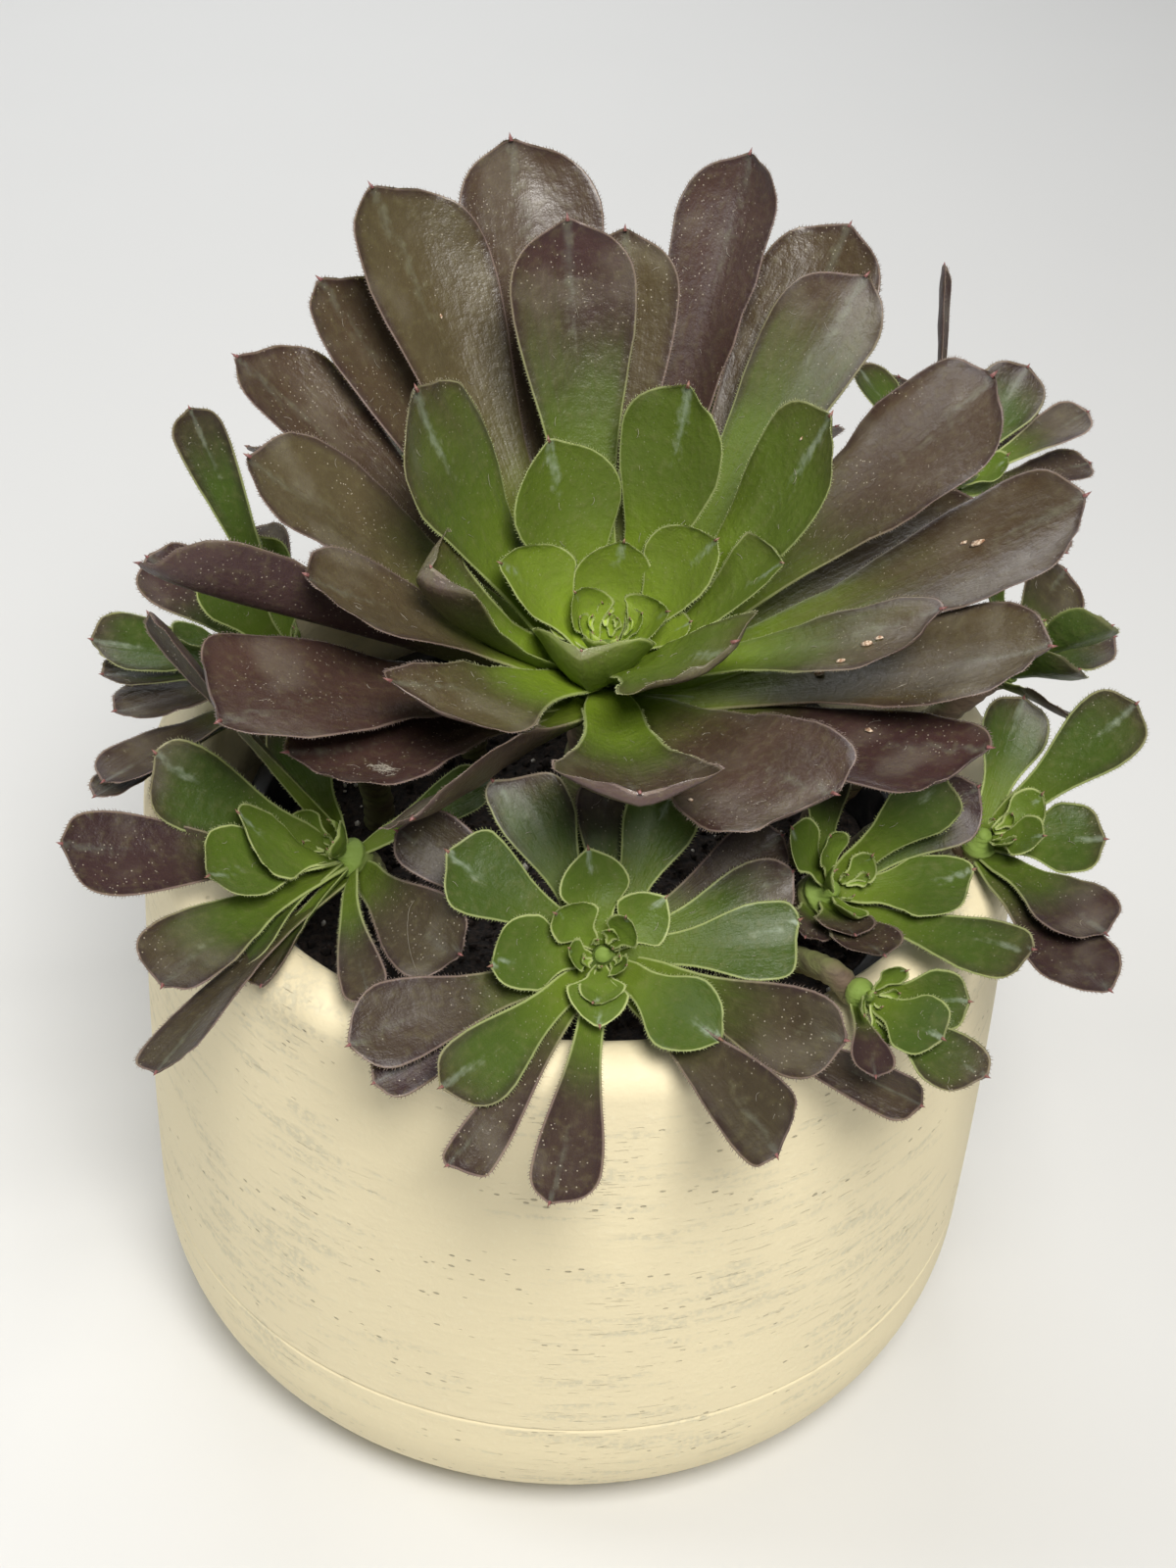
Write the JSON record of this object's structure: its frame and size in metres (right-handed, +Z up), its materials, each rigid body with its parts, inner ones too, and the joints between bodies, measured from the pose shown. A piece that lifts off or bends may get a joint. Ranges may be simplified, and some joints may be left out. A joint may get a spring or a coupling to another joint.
{
  "type": "potted aeonium",
  "caption": "Potted aeonium: a large purple and green rosette over smaller offset rosettes, in a nursery pot inside a round cream planter.",
  "frame": {"origin": "middle of the outer pot's flat base, on the surface it stands on", "axes": "+Z up, -Y towards the front that the picture shows, +X to the right of that front"},
  "size_m": [0.2528, 0.2852, 0.2946],
  "materials": {
    "cream_pot": "matte cream, with faint grey patches, fine scratches and small pits",
    "black_plastic": "thin black nursery-pot plastic with a soft sheen",
    "potting_soil": "dark crumbly peat with white perlite grains",
    "purple_leaf": "satin purple-brown leaves that turn green towards the heart, with a pale hairy margin",
    "green_leaf": "satin green leaves, purple at the rims of the older ones, with a pale hairy margin"
  },
  "bodies": {
    "root": {"outer_pot": "cream_pot", "nursery_pot": "black_plastic", "potting_soil": "potting_soil", "main_rosette": "purple_leaf", "front_offset": "green_leaf", "left_front_offset": "green_leaf", "left_back_offset": "green_leaf", "right_front_offset": "green_leaf", "right_rim_offset": "green_leaf", "right_offset": "green_leaf", "right_back_offset": "green_leaf", "back_right_offset": "green_leaf", "back_offset": "green_leaf", "back_left_offset": "green_leaf"}
  },
  "joints": []
}
